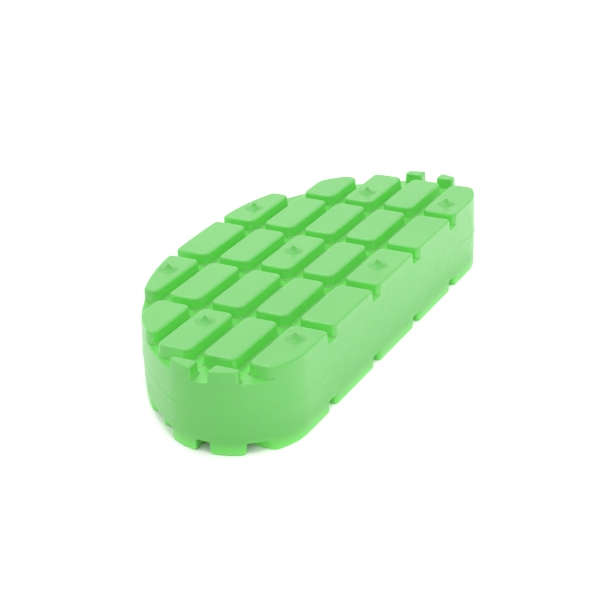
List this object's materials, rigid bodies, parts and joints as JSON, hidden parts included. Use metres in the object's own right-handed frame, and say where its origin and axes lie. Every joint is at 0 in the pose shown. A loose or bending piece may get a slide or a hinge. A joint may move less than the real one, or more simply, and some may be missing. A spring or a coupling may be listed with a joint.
{
  "type": "cow hoof block",
  "caption": "Moulded plastic hoof block with one straight side, one bowed side, a grooved tread of pads on both faces and spacer pips on the glue face.",
  "frame": {"origin": "centre of the outline, on the plane of the ground face", "axes": "+X towards the straight side, +Y along the block towards the end with the two narrow lugs, +Z from the ground face to the glue face"},
  "size_m": [0.052, 0.121, 0.02],
  "materials": {
    "core": "moulded, semi-gloss",
    "tread": "moulded, semi-gloss",
    "pips": "moulded, semi-gloss"
  },
  "bodies": {
    "root": {"bottom_front_lug_inner": "tread", "bottom_front_lug_outer": "tread", "bottom_rear_lug_inner": "tread", "bottom_rear_lug_outer": "tread", "bottom_tread_pad_a2": "tread", "bottom_tread_pad_a3": "tread", "bottom_tread_pad_a4": "tread", "bottom_tread_pad_b1": "tread", "bottom_tread_pad_b2": "tread", "bottom_tread_pad_b3": "tread", "bottom_tread_pad_b4": "tread", "bottom_tread_pad_b5": "tread", "bottom_tread_pad_c1": "tread", "bottom_tread_pad_c2": "tread", "bottom_tread_pad_c3": "tread", "bottom_tread_pad_c4": "tread", "bottom_tread_pad_c5": "tread", "bottom_tread_pad_d1": "tread", "bottom_tread_pad_d2": "tread", "bottom_tread_pad_d3": "tread", "bottom_tread_pad_d4": "tread", "bottom_tread_pad_d5": "tread", "bottom_tread_pad_e1": "tread", "bottom_tread_pad_e2": "tread", "bottom_tread_pad_e3": "tread", "bottom_tread_pad_e4": "tread", "bottom_tread_pad_e5": "tread", "core_web": "core", "top_front_lug_inner": "tread", "top_front_lug_outer": "tread", "top_rear_lug_inner": "tread", "top_rear_lug_outer": "tread", "top_spacer_pips": "pips", "top_tread_pad_a2": "tread", "top_tread_pad_a3": "tread", "top_tread_pad_a4": "tread", "top_tread_pad_b1": "tread", "top_tread_pad_b2": "tread", "top_tread_pad_b3": "tread", "top_tread_pad_b4": "tread", "top_tread_pad_b5": "tread", "top_tread_pad_c1": "tread", "top_tread_pad_c2": "tread", "top_tread_pad_c3": "tread", "top_tread_pad_c4": "tread", "top_tread_pad_c5": "tread", "top_tread_pad_d1": "tread", "top_tread_pad_d2": "tread", "top_tread_pad_d3": "tread", "top_tread_pad_d4": "tread", "top_tread_pad_d5": "tread", "top_tread_pad_e1": "tread", "top_tread_pad_e2": "tread", "top_tread_pad_e3": "tread", "top_tread_pad_e4": "tread", "top_tread_pad_e5": "tread"}
  },
  "joints": []
}
